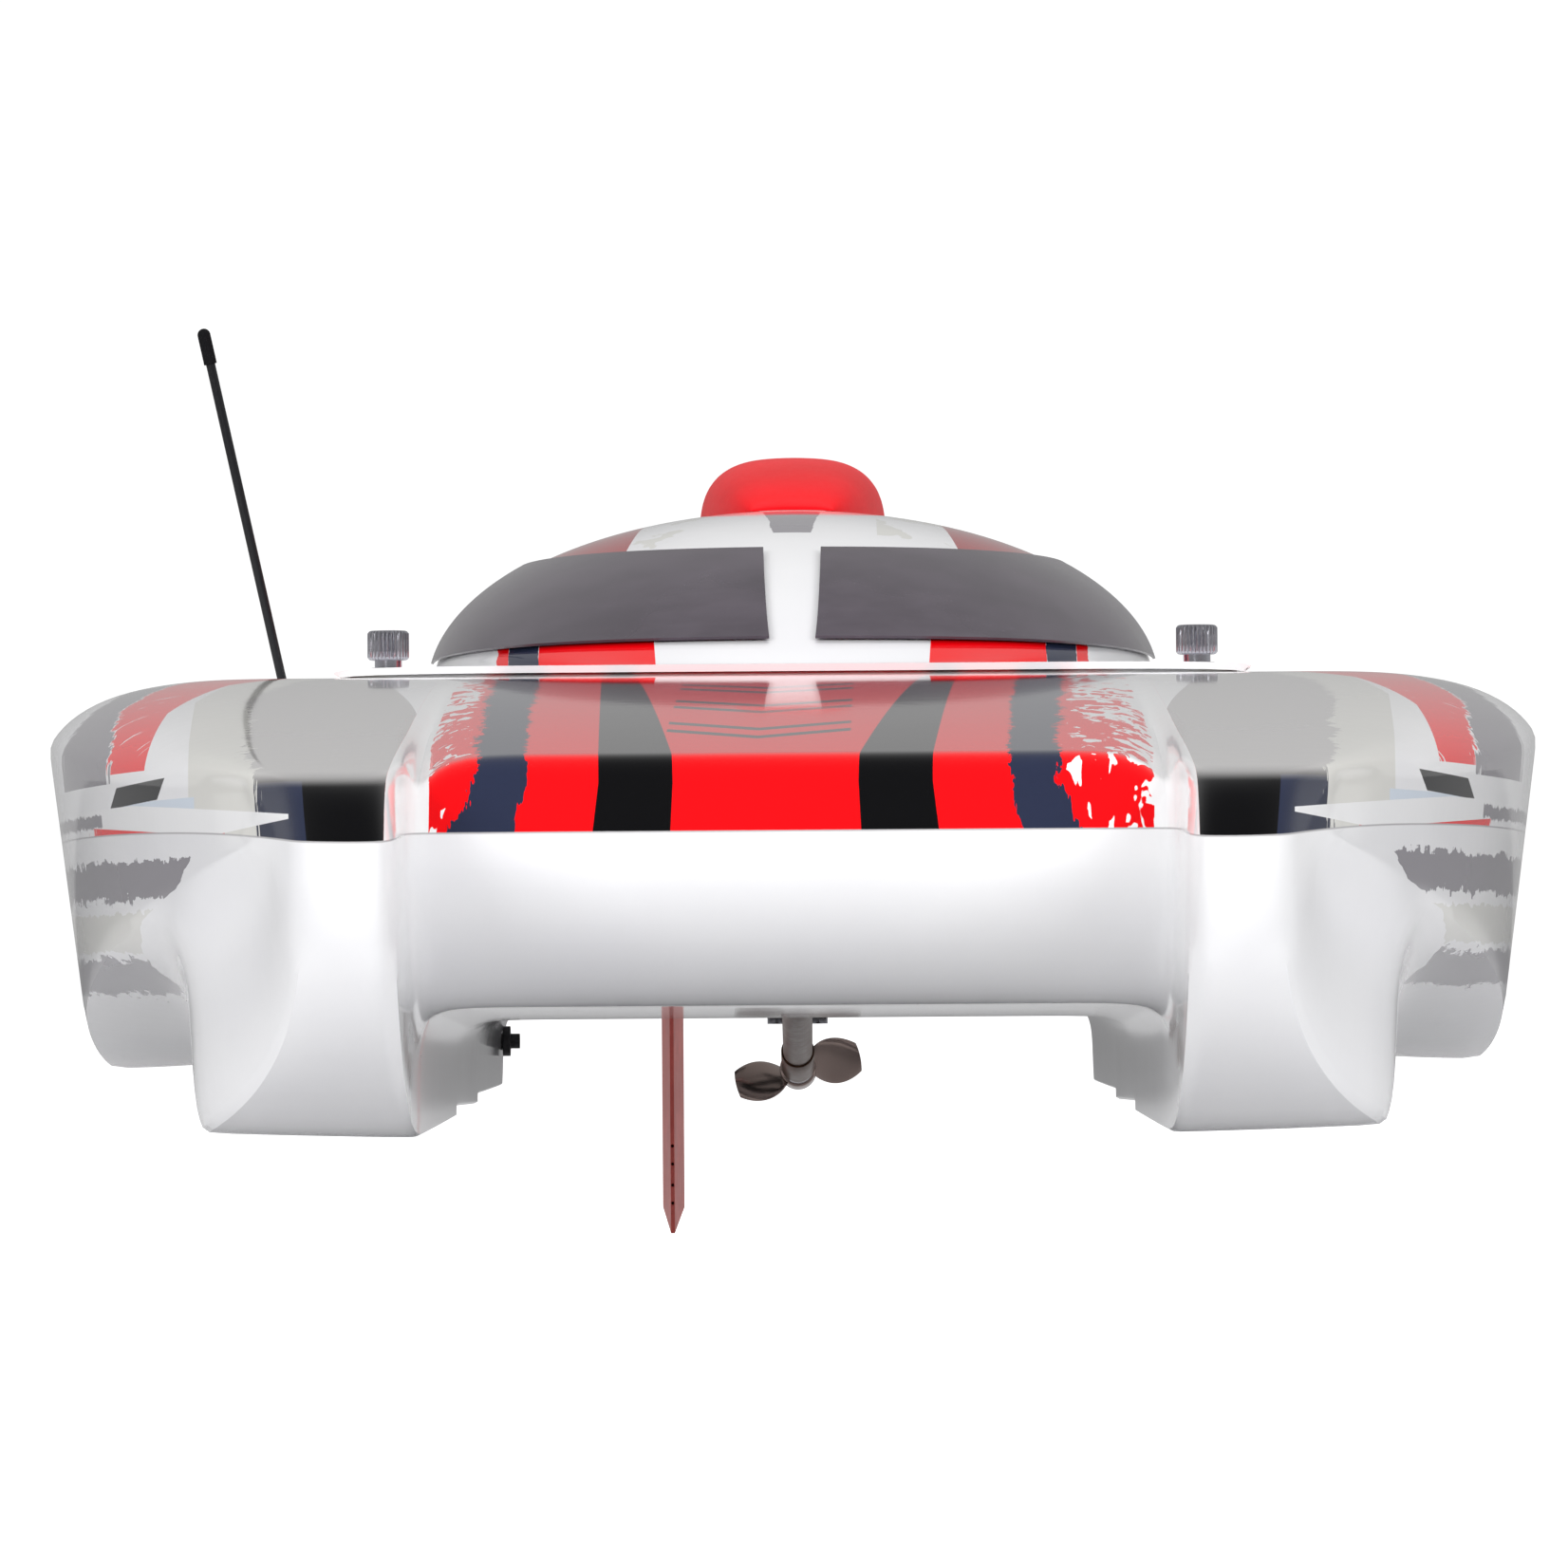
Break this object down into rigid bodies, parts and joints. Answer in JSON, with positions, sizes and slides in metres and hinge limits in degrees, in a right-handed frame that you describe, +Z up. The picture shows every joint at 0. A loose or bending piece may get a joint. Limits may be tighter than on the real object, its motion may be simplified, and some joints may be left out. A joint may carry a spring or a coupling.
{
  "type": "radio-controlled racing catamaran",
  "caption": "Twin-sponson radio-controlled racing boat with a lift-off canopy, sloping shaft drive, kick-up rudder, trim tabs and whip antenna.",
  "frame": {"origin": "middle of the flat tunnel roof between the sponsons, where a boat stand's pad bears, 600 mm aft of the sponson tips", "axes": "+X to port, +Y aft (the bow points along -Y), +Z up, with the keel planes level"},
  "size_m": [0.365, 1.232, 0.2604],
  "materials": {
    "hull_white": "gloss gelcoat",
    "deck_paint": "painted gloss deck",
    "canopy_paint": "painted gloss canopy",
    "scoop_red": "satin red",
    "tinted_screen": "dark tinted panel",
    "black_rubber": "matt",
    "black_plastic": "moulded",
    "grey_plastic": "moulded",
    "foam": "closed cell foam",
    "ply": "sealed plywood",
    "steel": "stainless",
    "chrome_steel": "polished",
    "screw_steel": "socket screws",
    "alloy": "machined",
    "bronze_alloy": "bronze anodised",
    "red_alloy": "red anodised",
    "blue_alloy": "blue anodised",
    "dark_alloy": "black anodised",
    "brass": "dull",
    "hose": "silicone",
    "battery_wrap": "shrink wrap"
  },
  "bodies": {
    "hull": {"hull_tub": "hull_white", "deck_moulding": "deck_paint", "hatch_coaming": "hull_white", "hatch_inserts": "brass", "bulkheads": "ply", "transom_doubler": "ply", "sponson_foam": "foam", "motor_mount": "alloy", "mount_screws": "screw_steel", "motor_can": "dark_alloy", "water_jacket": "blue_alloy", "stuffing_tube": "brass", "tube_fairing": "black_plastic", "strut": "bronze_alloy", "strut_bushes": "brass", "stern_screws": "steel", "rudder_bracket": "dark_alloy", "rudder_pin": "steel", "servo": "black_plastic", "servo_mount": "alloy", "pushrod_boot": "black_rubber", "radio_box": "grey_plastic", "receiver": "black_plastic", "speed_control": "dark_alloy", "battery_tray": "grey_plastic", "battery_packs": "battery_wrap", "battery_straps": "black_rubber", "inlet_nipple": "alloy", "outlet_fitting": "black_plastic", "cooling_hoses": "hose", "antenna_mount": "black_rubber", "antenna_tube": "black_plastic", "antenna_cap": "black_rubber", "drain_plug": "black_rubber", "tab_hinges": "steel"},
    "hatch": {"hatch_moulding": "canopy_paint", "hatch_seal": "black_rubber", "windscreen_stbd": "tinted_screen", "windscreen_port": "tinted_screen", "air_scoop": "scoop_red", "screw_washers": "black_rubber"},
    "screw_fs": {"thumb_screw_fs": "chrome_steel"},
    "screw_fp": {"thumb_screw_fp": "chrome_steel"},
    "screw_rs": {"thumb_screw_rs": "chrome_steel"},
    "screw_rp": {"thumb_screw_rp": "chrome_steel"},
    "drive": {"motor_rotor": "steel", "shaft_coupler": "alloy", "flex_shaft": "steel", "propeller_shaft": "steel", "drive_dog": "steel", "propeller": "chrome_steel", "prop_nut": "brass"},
    "steering_block": {"rudder_holder": "dark_alloy", "kick_bolt": "screw_steel"},
    "blade": {"rudder_blade": "red_alloy"},
    "horn": {"servo_horn": "alloy"},
    "link": {"pushrod": "steel"},
    "lid": {"radio_lid": "grey_plastic"},
    "tab_s": {"trim_tab_stbd": "steel"},
    "tab_p": {"trim_tab_port": "steel"}
  },
  "joints": [
    {"name": "hatch_lift", "type": "slide", "parent": "hull", "child": "hatch", "axis": [0, 0, 1], "range_m": [0, 0.15]},
    {"name": "screw_fs_turn", "type": "hinge", "parent": "hatch", "child": "screw_fs", "pos_m": [-0.101, -0.18, 0.0915], "axis": [0, 0, 1], "continuous": true},
    {"name": "screw_fp_turn", "type": "hinge", "parent": "hatch", "child": "screw_fp", "pos_m": [0.101, -0.18, 0.0915], "axis": [0, 0, 1], "continuous": true},
    {"name": "screw_rs_turn", "type": "hinge", "parent": "hatch", "child": "screw_rs", "pos_m": [-0.101, 0.298, 0.0915], "axis": [0, 0, 1], "continuous": true},
    {"name": "screw_rp_turn", "type": "hinge", "parent": "hatch", "child": "screw_rp", "pos_m": [0.101, 0.298, 0.0915], "axis": [0, 0, 1], "continuous": true},
    {"name": "drive_spin", "type": "hinge", "parent": "hull", "child": "drive", "pos_m": [0, 0.578, -0.0203], "axis": [0, 0.9942, -0.108], "continuous": true},
    {"name": "rudder_steer", "type": "hinge", "parent": "hull", "child": "steering_block", "pos_m": [-0.042, 0.596, 0.0245], "axis": [0, 0, 1], "range_deg": [-30, 30]},
    {"name": "rudder_kick_up", "type": "hinge", "parent": "steering_block", "child": "blade", "pos_m": [-0.042, 0.616, 0.0275], "axis": [1, 0, 0], "range_deg": [0, 75]},
    {"name": "servo_horn_turn", "type": "hinge", "parent": "hull", "child": "horn", "pos_m": [-0.042, 0.3, 0.032], "axis": [0, 0, 1], "range_deg": [-30, 30]},
    {"name": "pushrod_swing", "type": "hinge", "parent": "horn", "child": "link", "pos_m": [-0.026, 0.3, 0.0355], "axis": [0, 0, 1], "range_deg": [-30, 30]},
    {"name": "radio_lid_lift", "type": "slide", "parent": "hull", "child": "lid", "axis": [0, 0, 1], "range_m": [0, 0.035]},
    {"name": "tab_stbd_tilt", "type": "hinge", "parent": "hull", "child": "tab_s", "pos_m": [-0.134, 0.555, -0.0195], "axis": [1, 0, 0], "range_deg": [-10, 10]},
    {"name": "tab_port_tilt", "type": "hinge", "parent": "hull", "child": "tab_p", "pos_m": [0.134, 0.555, -0.0195], "axis": [1, 0, 0], "range_deg": [-10, 10]}
  ],
  "couplings": [
    {"joint": "servo_horn_turn", "follows": "rudder_steer", "ratio": 1},
    {"joint": "pushrod_swing", "follows": "rudder_steer", "ratio": -1}
  ]
}
